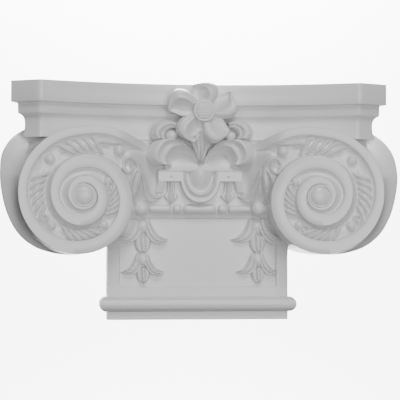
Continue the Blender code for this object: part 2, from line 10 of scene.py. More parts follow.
import bpy
import numpy as np
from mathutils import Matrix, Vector


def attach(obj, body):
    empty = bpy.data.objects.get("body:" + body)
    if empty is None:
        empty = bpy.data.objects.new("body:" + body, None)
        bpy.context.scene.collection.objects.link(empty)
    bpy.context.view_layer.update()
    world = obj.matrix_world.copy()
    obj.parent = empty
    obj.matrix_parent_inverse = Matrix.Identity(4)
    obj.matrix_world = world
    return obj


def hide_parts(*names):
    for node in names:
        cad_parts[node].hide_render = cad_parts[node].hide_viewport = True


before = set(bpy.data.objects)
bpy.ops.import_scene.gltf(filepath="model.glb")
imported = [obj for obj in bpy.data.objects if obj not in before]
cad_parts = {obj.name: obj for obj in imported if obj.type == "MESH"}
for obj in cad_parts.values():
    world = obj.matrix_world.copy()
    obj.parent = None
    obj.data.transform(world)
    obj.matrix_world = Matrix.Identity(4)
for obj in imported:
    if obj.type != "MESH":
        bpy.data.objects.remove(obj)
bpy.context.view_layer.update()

# %% [markdown]
# A relief is easiest to measure from its wall and from its foot. So a place on the capital is
# given in millimetres by x to the right, z up from the underside and its depth in front of the
# wall, and one function turns such places into the frame's metres.

# %% Places on the capital
MM = 0.001
EYE_HEIGHT = 196
HEIGHT = 376
INSIDE = 30  # depth, well inside the casting, where most ornaments end
BEHIND_WALL = -5  # depth where what reaches the wall ends, until the back is cut flat
COLLECTED = []


def spots(x, z, depth):
    """Millimetres on the capital as rows of metres in the frame."""
    x, z, depth = np.broadcast_arrays(np.asarray(x, float), z, depth)
    return np.column_stack((x, -depth, z - EYE_HEIGHT)) * MM


def only(piece):
    """Selects one object alone."""
    bpy.ops.object.select_all(action="DESELECT")
    piece.select_set(True)
    bpy.context.view_layer.objects.active = piece


def curve(points, at):
    """Smooth curve through a few points, read at shares from 0 to 1."""
    knots = np.array([2 * np.array(points[0]) - points[1], *points,
                      2 * np.array(points[-1]) - points[-2]], float)
    step = np.clip(np.asarray(at, float), 0, 1) * (len(points) - 1)
    i = np.minimum(step.astype(int), len(points) - 2)
    t = (step - i)[:, None]
    a, b, c, d = (knots[i + k] for k in range(4))
    return 0.5 * (2 * b + (c - a) * t + (2 * a - 5 * b + 4 * c - d) * t ** 2
                  + (3 * b - a - 3 * c + d) * t ** 3)


# %% [markdown]
# Nearly every form on this capital is a face that was pressed out of a flat mould: it has a
# front that one can draw from left to right and from bottom to top, sides that run back, and no
# undercut. A grid primitive is the natural start for such a form. Its inner points are moved on
# to the front, its outermost ring is dropped straight back into the casting, and the ring is
# closed with one face. A form whose sides draw in towards the wall would fold over itself that
# way, so its ring can be kept within a half width of its own.

# %% A closed relief from a grid
def close_up(piece):
    """Merges doubles, fills the open back and points all faces outwards."""
    only(piece)
    bpy.ops.object.mode_set(mode="EDIT")
    bpy.ops.mesh.select_mode(type="EDGE")
    bpy.ops.mesh.select_all(action="SELECT")
    bpy.ops.mesh.remove_doubles(threshold=0.00002)
    bpy.ops.mesh.select_non_manifold(extend=False, use_wire=False, use_multi_face=False,
                                     use_non_contiguous=False, use_verts=False)
    bpy.ops.mesh.edge_face_add()
    bpy.ops.mesh.select_all(action="SELECT")
    bpy.ops.mesh.dissolve_degenerate(threshold=0.00001)
    bpy.ops.mesh.normals_make_consistent(inside=False)
    bpy.ops.object.mode_set(mode="OBJECT")
    COLLECTED.append(piece)
    return piece


def grid(name, columns, rows):
    """A grid primitive and each point's column and row."""
    bpy.ops.mesh.primitive_grid_add(x_subdivisions=columns, y_subdivisions=rows, size=1)
    piece = bpy.context.active_object
    piece.name = name
    flat = np.empty(len(piece.data.vertices) * 3)
    piece.data.vertices.foreach_get("co", flat)
    column = np.rint((flat[0::3] + 0.5) * columns)
    row = np.rint((flat[1::3] + 0.5) * rows)
    return piece, column, row


def relief(name, columns, rows, front, back=INSIDE, back_half=math.inf):
    """A closed solid whose face is front(u, v) -> x, z, depth, with u and v from 0 to 1."""
    piece, column, row = grid(name, columns + 2, rows + 2)
    u = np.clip((column - 1) / columns, 0, 1)
    v = np.clip((row - 1) / rows, 0, 1)
    x, z, depth = front(u, v)
    rim = (column == 0) | (column == columns + 2) | (row == 0) | (row == rows + 2)
    x = np.where(rim, np.clip(x, -back_half, back_half), x)
    piece.data.vertices.foreach_set("co", spots(x, z, np.where(rim, back, depth)).ravel())
    return close_up(piece)


def ball(name, x, z, depth, radii, segments):
    """A round or oval boss from a sphere primitive."""
    bpy.ops.mesh.primitive_uv_sphere_add(segments=segments, ring_count=segments // 2, radius=1)
    piece = bpy.context.active_object
    piece.name = name
    flat = np.empty(len(piece.data.vertices) * 3)
    piece.data.vertices.foreach_get("co", flat)
    places = spots(x + radii[0] * flat[0::3], z + radii[1] * flat[2::3],
                   depth - radii[2] * flat[1::3])
    piece.data.vertices.foreach_set("co", places.ravel())
    return close_up(piece)


# %% [markdown]
# The abacus is the square slab on top. Its front is hollowed in plan and its corners are cut
# off, its sides draw in towards the wall, and it steps back in three members: a tall fascia, a
# lower fascia and a necking that flares a little at its foot. One outline, set back by a
# different amount at each height, gives all of it: the columns of the grid run round the outline
# and its rows climb the profile.

# %% Abacus
FRONT_HALF = 251.5
CORNER_DEPTH = 134.5
HOLLOW = 49
CUT_WIDTH = 47
CUT_DEPTH = 21
SIDE_HOLLOW = 26
SIDE_STEP = 1.2  # the lower members step in by this share of their inset at the sides
SIDE_SHARE = 0.08  # of the outline from the wall to the middle, that runs along the side
CUT_SHARE = 0.09  # and that runs across the cut-off corner
FASCIA = 33
SECOND_FASCIA = 17.5
NECKING = 37
UNDER_FASCIA = HEIGHT - FASCIA
UNDER_SECOND = UNDER_FASCIA - SECOND_FASCIA
ABACUS_FOOT = UNDER_SECOND - NECKING
ABACUS_PROFILE = (  # height and inset
    (ABACUS_FOOT, 15.5), (ABACUS_FOOT + 3, 16.3), (ABACUS_FOOT + 8, 17.3),
    (ABACUS_FOOT + 14, 18), (ABACUS_FOOT + 22, 18.2), (UNDER_SECOND - 9, 17.6),
    (UNDER_SECOND - 6, 16.4), (UNDER_SECOND - 3, 14.2), (UNDER_SECOND - 1.2, 11.5),
    (UNDER_SECOND - 0.6, 10.2), (UNDER_SECOND, 9.6), (UNDER_SECOND + 0.8, 9.2),
    (UNDER_FASCIA - 3, 8.8), (UNDER_FASCIA - 1.2, 8), (UNDER_FASCIA - 0.4, 6.5),
    (UNDER_FASCIA - 0.3, 1), (UNDER_FASCIA, 0.4), (UNDER_FASCIA + 0.8, 0),
    (HEIGHT - 0.8, 0), (HEIGHT - 0.2, 0.3), (HEIGHT, 0.9))


def hollow_front(x, inset):
    """Depth of the abacus's curved front."""
    return CORNER_DEPTH - inset - HOLLOW * (1 - (x / FRONT_HALF) ** 2)


def abacus_front(u, v):
    """Side, cut-off corner, hollow front, corner and side."""
    levels = np.array(ABACUS_PROFILE)
    rows = np.linspace(0, 1, len(levels))
    z = np.interp(v, rows, levels[:, 0])
    inset = np.interp(v, rows, levels[:, 1])
    cut_width = CUT_WIDTH - SIDE_STEP * inset
    outer = FRONT_HALF + cut_width
    corner = CORNER_DEPTH - inset - CUT_DEPTH * cut_width / CUT_WIDTH
    side = np.where(u < 0.5, -1, 1)
    across = np.minimum(u, 1 - u) * 2  # from the wall round to the middle of the front
    on_side, on_cut = across <= SIDE_SHARE, across < SIDE_SHARE + CUT_SHARE
    past_side = (across - SIDE_SHARE) / CUT_SHARE
    past_cut = (across - SIDE_SHARE - CUT_SHARE) / (1 - SIDE_SHARE - CUT_SHARE)
    reach = np.where(on_side, outer, np.where(on_cut, outer - cut_width * past_side,
                                              FRONT_HALF * (1 - past_cut)))
    reach = reach - np.where(on_side, SIDE_HOLLOW * (1 - (across / SIDE_SHARE) ** 2), 0)
    cut = corner + (CORNER_DEPTH - inset - corner) * past_side
    depth = np.where(on_side, corner * across / SIDE_SHARE,
                     np.where(on_cut, cut, hollow_front(reach, inset)))
    return side * reach, z, np.maximum(depth, 0)


relief("abacus", 170, len(ABACUS_PROFILE) - 1, abacus_front, BEHIND_WALL, 180)
print("abacus profile has", len(ABACUS_PROFILE), "steps")

# %% [markdown]
# The neck is what the pilaster's shaft meets: a flat face with a sunk panel, and a half-round
# astragal across its foot. The panel's edge is eased by a soft step, as a moulded edge is. The
# astragal is the half-round profile carried round the two front corners of the neck.

# %% Neck and astragal
NECK_HALF = 145.5
NECK_DEPTH = 60
NECK_DRAFT = 2.5
PANEL_HALF = 127.5
PANEL_BOTTOM = 52
PANEL_TOP = 163
PANEL_SINK = 4.4
PANEL_EASE = 1.2
ASTRAGAL_MIDDLE = 25.2
ASTRAGAL_RADIUS = 12.3
ASTRAGAL_OVERHANG = 12.9
ASTRAGAL_RETURN = 0.2  # share of the way to the middle that runs along the neck's side


def smoothstep(value):
    """An S-shaped step from 0 to 1."""
    t = np.clip(value, 0, 1)
    return t * t * (3 - 2 * t)


def neck_front(u, v):
    """Few points on the flats and many across the panel's edge."""
    start, stop = PANEL_HALF - PANEL_EASE, PANEL_HALF
    x = np.sign(u - 0.5) * np.interp(abs(2 * u - 1), (0, 0.6, 0.8, 0.92, 1),
                                     (0, start, stop, NECK_HALF, NECK_HALF + NECK_DRAFT))
    z = np.interp(v, (0, 0.1, 0.3, 0.6, 0.8, 1), (0, PANEL_BOTTOM, PANEL_BOTTOM + PANEL_EASE,
                                                  PANEL_TOP - PANEL_EASE, PANEL_TOP, 200))
    inside = np.minimum(stop - abs(x), np.minimum(z - PANEL_BOTTOM, PANEL_TOP - z))
    depth = NECK_DEPTH - PANEL_SINK * smoothstep(inside / PANEL_EASE)
    return x, z, np.where(abs(x) > NECK_HALF + 0.01, 0, depth)


def astragal_front(u, v):
    """A half-round bead on three sides of the neck."""
    angle = (v - 0.5) * math.pi
    out = ASTRAGAL_OVERHANG * np.cos(angle)
    z = ASTRAGAL_MIDDLE + ASTRAGAL_RADIUS * np.sin(angle)
    side = np.where(u < 0.5, -1, 1)
    across = np.minimum(u, 1 - u) * 2
    half = NECK_HALF + out
    front = np.maximum(across - ASTRAGAL_RETURN, 0) / (1 - ASTRAGAL_RETURN)
    depth = (NECK_DEPTH + out) * np.minimum(across / ASTRAGAL_RETURN, 1)
    return side * half * (1 - front), z, depth


relief("neck", 50, 30, neck_front, BEHIND_WALL)
relief("astragal", 40, 24, astragal_front, BEHIND_WALL)
print("neck", 2 * (NECK_HALF + NECK_DRAFT), "mm wide at the wall")

# %% [markdown]
# Behind the carving the ground isn't flat. It swells forward on both sides to meet the volutes,
# which is why it looks so bright there, and above the cup it runs up into the abacus's hollow.
# One function gives its depth, so that every ornament can be seated on it.

# %% Volute spiral and the ground
EYE_X = 184
VOLUTE_DEPTH = 140
SLANT = math.tan(math.radians(9))
RADII = (107, 99.5, 90, 75, 63, 50, 46.5, 36.5, 30, 23.8, 22.5, 20, 17.5)  # each quarter turn
BANDS = (12.5, 13.5, 20, 20, 20, 12.4, 18, 15, 11, 6, 5, 3.5, 2)  # width of the flat rim there
LEAD_LINE = 125  # for each turn before the top, the rim leaves the spiral by this
LEAD_START = 0.09  # and from here on by its square too
LEAD_CURVE = 2400
LEAD_TURN = 0.86  # what is past this turn lies beside the lead, not beside the spiral
LEAD_DROP = 0.02  # the lead falls back by its squared distance past LEAD_FROM
LEAD_FROM = 55
TURN_RISE = 6.5
GROUND = 68  # depth of the ground under the carving
NECK_SWELL = 15  # how far the ground rises against a volute's side
SWELL_SPREAD = 10  # its distance from there, by which the rise falls to a third
BELL_FOOT = 163
BELL_HALF = 142
WAIST = 62  # half the width of the ground's flat middle
WING = 50  # how far the ground comes forward beside it
COVE_FROM = 60
ROW_Z = 178


def spiral_radius(turn):
    """The rim's outer edge; turns count inwards from the top, and are below 0 on the lead."""
    turn = np.asarray(turn, float)
    wound = curve([(r,) for r in RADII], 4 * np.maximum(turn, 0) / (len(RADII) - 1))[:, 0]
    early = np.maximum(-turn, 0)
    return wound + LEAD_LINE * early + LEAD_CURVE * np.maximum(early - LEAD_START, 0) ** 2


def band_width(turn):
    """How wide the flat rim is."""
    return np.interp(4 * np.maximum(turn, 0), np.arange(len(BANDS)), BANDS)


def on_volute(side, turn, radius, rise):
    """x, z and depth at an angle and radius about the eye, a rise over the slanting rim."""
    out = radius * np.sin(math.tau * turn)
    up = radius * np.cos(math.tau * turn)
    lead = np.maximum(0, -out - LEAD_FROM)
    drop = LEAD_DROP * lead ** 2 * np.clip(up / 60, 0, 1)
    return side * (EYE_X + out), EYE_HEIGHT + up, VOLUTE_DEPTH + out * SLANT + rise - drop


def outside_volute(x, z):
    """Distance from the nearer volute's inner rim, zero inside it."""
    out = abs(x) - EYE_X
    up = z - EYE_HEIGHT
    turn = np.arctan2(out, up) / math.tau % 1
    edge = spiral_radius(np.where(turn > LEAD_TURN, turn - 1, turn))
    return np.maximum(np.hypot(out, up) - edge, 0)


def swell(x, z):
    return NECK_SWELL * np.exp(-outside_volute(x, z) / SWELL_SPREAD)


def ground_depth(x, z):
    """The ground over the neck: a lip, wings at the sides, a dip, and the abacus's hollow."""
    x, z = np.broadcast_arrays(np.asarray(x, float), np.asarray(z, float))
    shape = x.shape
    x, z = x.ravel(), z.ravel()
    base = NECK_DEPTH + (GROUND - NECK_DEPTH) * smoothstep((z - BELL_FOOT) / 15)
    wing = WING * smoothstep((abs(x) - WAIST) / 52) * smoothstep((z - BELL_FOOT - 3) / 66)
    cove = swell(x, z) * smoothstep((250 - z) / 50)
    dip = 3 * smoothstep((z - 236) / 8) * (1 - smoothstep((z - 242) / 26))
    bell = base + np.maximum(wing, cove) - dip
    upper = smoothstep((z - 262) / 30)
    ground = bell + upper * (hollow_front(x, 18) - 2 - bell)
    return ground.reshape(shape)


def bell_front(u, v):
    """The ground from the neck up into the abacus."""
    x = (2 * u - 1) * BELL_HALF
    z = BELL_FOOT + v * (UNDER_FASCIA - 7 - BELL_FOOT)
    return x, z, ground_depth(x, z)


def cove_front(side):
    """The neck's ground swells against each volute, down to where the volute leaves it."""
    def front(u, v):
        x = COVE_FROM + u * (NECK_HALF - COVE_FROM - 0.4)
        z = COVE_FROM + v * 110
        inside = np.minimum(PANEL_HALF - x, PANEL_TOP - z)
        ground = NECK_DEPTH - PANEL_SINK * smoothstep(inside / PANEL_EASE)
        return side * x, z, ground + swell(x, z) - 0.4
    return front


relief("bell", 104, 66, bell_front, BEHIND_WALL)
for side in (-1, 1):
    relief("cove", 30, 40, cove_front(side))
print("ground at the bead row", ground_depth([0, 90], ROW_Z))

# %% [markdown]
# A volute is a ribbon wound on itself: across it lie a flat rim, a channel and the wall up to
# the next turn's rim, and each turn stands further forward than the last. So the grid's columns
# run along the spiral and its rows across the ribbon. Where one turn's inner edge meets the
# next turn's rim the points coincide, and merging them closes the face. The flank is a second
# grid that starts from the outer edge and flares back to the wall.

# %% Volutes
TURN_STEPS = 160
FIRST = -24  # steps; the rim comes in this far before the top
TURNS = 2.9
CHANNEL_SINK = 9
EYE_RING = 16
FLARES = (0, 8, 27, 42, 43, 33, 26, 22.5, 20, 15, 8, 3, 0)
FLARE_STEP = 15  # degrees between them
FLARE_FROM = 90  # degrees above the outward side, at the first of them
FLANK = ((0, 0), (0.04, 8), (0.12, 15), (0.25, 21), (0.45, 26.5), (0.7, 30.5), (0.93, 33),
         (1.0, 35), (1.0, 40), (1.0, 50))  # share of the flare, and the drop behind the rim
HIGH_DROP = 1.3  # the flank's drops grow by this share beside the abacus
HIGH_SPAN = (15, 45)  # degrees above the outward side over which they do
LAST = round((TURNS - 1) * TURN_STEPS) + TURN_STEPS
RIBBON_ROWS = 14
FILLET_ROW, FLOOR_ROW, FOOT_ROW = 6, 10, 12  # where the rim ends, and of the channel
FLANK_ROWS = 26


def turn_rise(turn):
    """Each turn stands further forward, up to the last one."""
    return TURN_RISE * np.clip(turn, 0, 1.6)


def ribbon(side, turn, row):
    """Across the ribbon, by row: rim, channel and wall."""
    outer = spiral_radius(turn)
    ended = turn + 1 > TURNS + 0.5 / TURN_STEPS
    inner = np.where(ended, EYE_RING, spiral_radius(turn + 1))
    rise = turn_rise(turn)
    next_rise = turn_rise(turn + 1) - np.where(ended, 1, 0)
    fillet = np.maximum(outer - band_width(turn), inner + 1)
    sink = CHANNEL_SINK * (1 - 0.25 * smoothstep((turn - 0.6) / 0.35))
    floor = rise - sink * np.clip((outer - inner) / 22, 0.2, 1)
    wall = 2.6 + 7 * np.maximum(0, np.cos(math.tau * (turn - 0.3)))
    foot = np.minimum(inner + wall, 0.35 * inner + 0.65 * fillet)
    span = fillet - foot
    rounding = np.minimum(0.8, 0.2 * (outer - fillet))
    radii = (outer, outer - 0.4 * rounding, outer - rounding, 0.5 * (outer + fillet),
             fillet + rounding, fillet + 0.3 * rounding, fillet, fillet - 0.07 * span,
             fillet - 0.16 * span, fillet - 0.4 * span, fillet - 0.65 * span, foot + 0.15 * span,
             foot, 0.5 * (foot + inner), inner)
    heights = (rise - 0.8, rise - 0.3, rise, rise - 0.3, rise, rise - 0.25, rise - 1,
               floor + 3, floor + 0.6, floor - 0.6, floor - 0.6, floor, floor + 1.2,
               0.5 * (floor + 1.2 + next_rise - 0.8), next_rise - 0.8)
    index = row.astype(int)
    columns = np.arange(len(index))
    radius = np.array([r + 0 * turn for r in radii])[index, columns]
    height = np.array([h + 0 * turn for h in heights])[index, columns]
    return on_volute(side, turn, radius, height)


def flank_flare(turn):
    """How far the flank stands out past the rim; it is most above the outward side."""
    step = (FLARE_FROM - (90 - 360 * turn)) / FLARE_STEP
    return curve([(f,) for f in FLARES], step / (len(FLARES) - 1))[:, 0]


def make_volute(side):
    """The ribbon and its flank, joined into one closed solid."""
    face, column, row = grid("volute", LAST - FIRST, RIBBON_ROWS)
    turn = (column + FIRST) / TURN_STEPS
    face.data.vertices.foreach_set("co", spots(*ribbon(side, turn, row)).ravel())

    wrap = TURN_STEPS + RIBBON_ROWS
    flank, column, row = grid("flank", wrap, FLANK_ROWS)
    past = column > TURN_STEPS  # once round, the flank closes across the ribbon's open start
    closing = np.where(column >= wrap, 0, RIBBON_ROWS - (column - TURN_STEPS))
    turn = np.where(past, FIRST, column + FIRST) / TURN_STEPS
    x, z, depth = ribbon(side, turn, np.where(past, closing, 0))
    share = curve(FLANK, np.minimum(row / (FLANK_ROWS - 1), 1))
    flare = np.where(past, 0, flank_flare(turn))
    offset = share[:, 0] * flare
    x = x + side * offset * np.sin(math.tau * turn)
    z = z + offset * np.cos(math.tau * turn)
    drop = share[:, 1] * (1 + HIGH_DROP * np.interp(90 - 360 * turn, HIGH_SPAN, (0, 1)))
    depth = np.where(row >= FLANK_ROWS, BEHIND_WALL, np.maximum(depth - drop, -4))
    flank.data.vertices.foreach_set("co", spots(x, z, depth).ravel())

    only(face)
    flank.select_set(True)
    bpy.ops.object.join()
    return close_up(face)


for side in (-1, 1):
    make_volute(side)
print("volute radius each turn", spiral_radius(np.array([0, 1, 2])))

# %% [markdown]
# The eye is a shallow boss inside a raised ring. Small round beads sit in the channel, and
# between them grow leaves: a low swelling with slanting tongues that curl across the channel.
# Each of those is placed by its turn round the spiral and its share across the channel.

# %% Strips and channel ornaments
EYE_RADIUS = 15.3
CURL_RADIUS = 6.5
# turn and radius of each bead; start, end and number of tongues of each leaf
CHANNEL_BEADS = ((-0.105, 9), (0.119, 8.6), (0.370, 8), (0.597, 7.2), (0.838, 6.4))
CHANNEL_LEAVES = ((-0.075, 0.088, 5), (0.148, 0.345, 6), (0.398, 0.575, 5), (0.625, 0.812, 5))


def strip(name, path, width, height, columns, rows):
    """A rounded strip along x, z (and depth) points; width and height are read along it."""
    path = np.array(path, float)

    def front(u, v):
        at = curve(path, v)
        ahead = curve(path, v + 0.004)[:, :2] - curve(path, v - 0.004)[:, :2]
        ahead /= np.linalg.norm(ahead, axis=1)[:, None] + 1e-9
        across = 2 * u - 1
        half = curve([(w,) for w in width], v)[:, 0] / 2
        x = at[:, 0] + ahead[:, 1] * across * half
        z = at[:, 1] - ahead[:, 0] * across * half
        rise = curve([(h,) for h in height], v)[:, 0] * (1 - across ** 2) ** 0.8
        ground = at[:, 2] if path.shape[1] > 2 else ground_depth(x, z)
        return x, z, ground + rise
    return relief(name, columns, rows, front)


def channel_spot(side, turn, share, lift=0):
    """A place over the channel's floor, from the rim (0) to the inner wall (1)."""
    turn = np.atleast_1d(np.asarray(turn, float))
    share = np.broadcast_to(np.asarray(share, float), turn.shape)
    x, z, _ = ribbon(side, turn, np.full(len(turn), FILLET_ROW))
    foot_x, foot_z, _ = ribbon(side, turn, np.full(len(turn), FOOT_ROW))
    _, _, floor = ribbon(side, turn, np.full(len(turn), FLOOR_ROW))
    return np.column_stack((x + share * (foot_x - x), z + share * (foot_z - z), floor + lift))


def tilted_ring(side, radius, thickness, depth):
    """A torus round the eye, slanting with the volute."""
    bpy.ops.mesh.primitive_torus_add(major_segments=72, minor_segments=16, major_radius=radius,
                                     minor_radius=thickness)
    ring = bpy.context.active_object
    ring.name = "eye ring"
    flat = np.empty(len(ring.data.vertices) * 3)
    ring.data.vertices.foreach_get("co", flat)
    places = spots(side * (EYE_X + flat[0::3]), EYE_HEIGHT + flat[1::3],
                   depth + flat[0::3] * SLANT + flat[2::3])
    ring.data.vertices.foreach_set("co", places.ravel())
    return close_up(ring)


def tongues(side, start, end, count):
    """A leaf in the channel: a low swelling and long tongues that sweep out across it."""
    span = end - start
    base = [channel_spot(side, start + span * k / 6, 0.52, -1)[0] for k in range(7)]
    strip("channel leaf", base, (6, 16, 19, 19, 17, 12), (1, 5, 6, 6, 5, 1), 10, 30)
    step = span / (count + 1.6)
    for k in range(count):
        first = start + step * k
        path = [channel_spot(side, first + step * t, share, 0.6)[0]
                for t, share in ((0, 0.93), (0.6, 0.86), (1.3, 0.58), (2.0, 0.22), (2.7, 0.1))]
        strip("tongue", path, (2.5, 6.5, 7.5, 7, 1.5), (2, 8, 10, 9, 2), 7, 20)


def leaf_curl(side, turn):
    """The end of a channel leaf, rolled up round a small eye."""
    x, z, depth = channel_spot(side, turn, 0.5)[0]
    path = []
    for k in range(12):
        angle = math.radians(220 - 42 * k)
        reach = CURL_RADIUS * (1 - 0.05 * k)
        path.append((x + side * reach * math.cos(angle), z + reach * math.sin(angle), depth))
    strip("leaf curl", path, (3, 5, 5, 4.5, 3.5), (3, 7, 8, 8, 7), 8, 40)
    ball("curl eye", x, z, depth + 2, (2.6, 2.6, 5), 12)


for side in (-1, 1):
    ball("eye", side * EYE_X, EYE_HEIGHT, VOLUTE_DEPTH + 9, (EYE_RADIUS, EYE_RADIUS, 6), 44)
    tilted_ring(side, EYE_RING + 0.6, 1.7, VOLUTE_DEPTH + 10)
    for turn, radius in CHANNEL_BEADS:
        x, z, depth = channel_spot(side, turn, 0.5)[0]
        ball("channel bead", x, z, depth + 2, (radius, radius, radius), 24)
    for start, end, count in CHANNEL_LEAVES:
        tongues(side, start, end, count)
    for _, end, _ in CHANNEL_LEAVES[1:]:
        leaf_curl(side, end - 0.008)
    tip = [channel_spot(side, turn, share, 1)[0]
           for turn, share in ((-0.03, 0.5), (-0.055, 0.36), (-0.08, 0.3), (-0.108, 0.06))]
    strip("leaf tip", tip, (6, 9, 7, 1), (4, 9, 8, 2), 8, 24)
print("solids up to the channels", len(COLLECTED))

# %% [markdown]
# Between the volutes runs a row of beads and reels, like a turned rod laid across the ground.
# Its two outer reels taper towards the volutes, and a larger ball closes each end.

# %% Bead row
CENTRE = 1.8  # the carving sits this far right of the middle
for left, right, ends in ((-24.6, 28.1, (7.6, 7.9)), (-79.7, -44.4, (6.0, 7.4)),
                          (48.3, 84.0, (7.4, 5.2)), (-41.2, -27.1, (7.6, 7.6)),
                          (31.3, 46.2, (7.6, 7.6))):
    short = right - left < 20

    def reel(u, v, left=left, right=right, ends=ends, short=short):
        along = 2 * v - 1
        half = ends[0] + (ends[1] - ends[0]) * v
        half = half * (1 - abs(along) ** (4 if short else 14) * 0.45)
        angle = math.pi * (u - 0.5)
        z = ROW_Z + half * np.sin(angle)
        return left + (right - left) * v, z, GROUND - 1 + half * np.cos(angle) * 1.1
    relief("reel", 18, 30, reel)
for x in (-91.7, 95.4):
    ball("row ball", x, ROW_Z, float(ground_depth(x, ROW_Z)) + 5, (11.3, 11.3, 11), 32)
print("solids with the bead row", len(COLLECTED))

# %% [markdown]
# A leaf is drawn as a carver draws it: by a few lines that run along it, its edges, its ridges
# and its grooves. The surface is stretched between those lines, and a short list of heights,
# evenly spaced from the first line to the last, models it.

# %% Leaves between lines
def leaf(name, lines, heights, columns, rows, fade=(0.1, 0.1), seat=ground_depth):
    """Lines of x, z (and depth) points; heights are evenly spaced across the lines."""
    lines = [np.array(line, float) for line in lines]

    def front(u, v):
        along = np.stack([curve(line, v) for line in lines])
        step = u * (len(lines) - 1)
        i = np.minimum(step.astype(int), len(lines) - 2)
        t = (step - i)[:, None]
        n = np.arange(len(u))
        at = along[i, n] * (1 - t) + along[i + 1, n] * t
        rise = curve([(h,) for h in heights], u)[:, 0]
        ends = smoothstep(v / fade[0] + 0.15) * smoothstep((1 - v) / fade[1] + 0.15)
        ground = at[:, 2] if at.shape[1] > 2 else seat(at[:, 0], at[:, 1])
        return at[:, 0], at[:, 1], ground + rise * ends
    return relief(name, columns, rows, front)


def shifted(points, x, z, sx=1, sz=1):
    """The points scaled, and then moved by x and z."""
    return [(x + sx * p[0], z + sz * p[1], *p[2:]) for p in points]


def at_depth(points, *depths):
    """Adds a depth to each point, read along the line."""
    d = curve([(value,) for value in depths], np.linspace(0, 1, len(points)))[:, 0]
    return [(p[0], p[1], float(depth)) for p, depth in zip(points, d)]


# %% [markdown]
# Beside each volute a leaf rolls up into a small scroll, and a horn-shaped leaf swings from it
# down over the bead row. They fill the corner between the volute and the cup.

# %% Scroll and horn leaves
SCROLL = ((-96, 215), (-97, 238), (-103, 251), (-113, 256), (-121, 250), (-122, 240),
          (-116, 233), (-109, 236), (-107, 243), (-112, 246))
SCROLL_STEMS = (((-104, 192), (-98, 215), (-95, 240)),
                ((-107, 205), (-110, 215), (-106, 228), (-99, 240)))
SMALL_LEAF = (((-98, 205), (-101, 199), (-101, 191), (-99, 185)),
              ((-103, 207), (-106.5, 202), (-107.5, 191), (-103, 185)))
HORN_TOP = ((-93.2, 243), (-87.7, 230.8), (-82.1, 216.4), (-75.5, 204.2), (-67.7, 198.7),
            (-59.9, 198.2), (-57.8, 199.3))
HORN_FOOT = ((-94.2, 233), (-92, 217.5), (-90.9, 204.2), (-86.5, 192), (-79.9, 186.5),
             (-69.9, 188.7), (-60.1, 195.3))
for sx in (1, -1):
    def across(points, sx=sx):
        return shifted(points, 0 if sx > 0 else 2 * CENTRE, 0, sx)

    ball("scroll plate", *across([(-115, 240)])[0], 94, (14, 17, 12), 32)
    strip("scroll", across(SCROLL), (4, 8, 9, 9, 8.5, 8, 7, 6, 5), (3, 8, 11, 11, 11, 10, 9, 9, 10),
          8, 70)
    for stem in SCROLL_STEMS:
        strip("stem", across(stem), (3, 7, 6, 2), (2, 8, 9, 3), 8, 24)
    leaf("small leaf", [across(line) for line in SMALL_LEAF], (1, 7, 1), 10, 16)
    leaf("horn", [across(HORN_TOP), across(HORN_FOOT)], (1, 7, 9.5, 8, 4, 3.6, 8, 8, 4, 1), 26, 44)
print("solids with the scrolls and horns", len(COLLECTED))

# %% [markdown]
# The middle is an egg-and-dart motif cut short: a beam carries a round-bottomed shell with an
# egg in it, and a dart hangs in a notch on each side.

# %% Cup
BEAM_HALF = 67.5
BEAM_FOOT = 221
BEAM_TOP = 239.5
CUP_DEPTH = 85
SHELL = (33, 52)  # half width and height below the beam's top
SQUARENESS = 2.3  # of the shell's outline, where 2 is an ellipse
EGG_SHARE = 0.58
RIDGE_SHARE = 0.74
DART_X = (-44.5, 47)


def slab(left, right, bottom, top, depth, round_by=1.2):
    """A flat block with rounded edges."""
    def front(u, v):
        x = left + (right - left) * np.interp(u, (0, 0.25, 0.75, 1), (0, 0.03, 0.97, 1))
        z = bottom + (top - bottom) * np.interp(v, (0, 0.25, 0.75, 1), (0, 0.08, 0.92, 1))
        inside = np.minimum(np.minimum(x - left, right - x), np.minimum(z - bottom, top - z))
        return x, z, depth - round_by * (1 - smoothstep(0.3 + inside / round_by))
    return front


def shell(u, v):
    """A plate with a ridge round a dish, and the egg in it."""
    fall = np.sin(v * math.pi / 2)
    half = SHELL[0] * np.maximum(1 - fall ** SQUARENESS, 0.002) ** (1 / SQUARENESS)
    x = (2 * u - 1) * half
    share = ((abs(x) / SHELL[0]) ** SQUARENESS + fall ** SQUARENESS) ** (1 / SQUARENESS)
    ridge = np.exp(-((share - RIDGE_SHARE) / 0.062) ** 2)
    egg = np.maximum(0, 1 - (share / EGG_SHARE) ** 2) ** 0.6
    plate = smoothstep((1 - share) / 0.035)
    dish = smoothstep((RIDGE_SHARE - share) / 0.08)
    depth = CUP_DEPTH - 2 + 2 * plate + 4 * ridge - 7 * dish + 13 * egg * (share < EGG_SHARE)
    return CENTRE + x, BEAM_TOP - 0.6 - SHELL[1] * fall, depth


def dart(centre):
    """An arrow with a groove down each side, which hangs from the beam."""
    def front(u, v):
        z = BEAM_FOOT + 1 - 37 * v
        half = np.interp(v, (0, 0.45, 0.53, 0.62, 0.68, 1), (5.6, 6.6, 9.5, 12, 11.6, 0.4))
        across = 2 * u - 1
        ridge = 1 - abs(across) ** 1.2
        groove = 2.2 * np.exp(-((abs(across) - 0.5) / 0.16) ** 2) * smoothstep((0.95 - v) / 0.3)
        return centre + across * half, z, 73 + 8.5 * ridge - groove
    return front


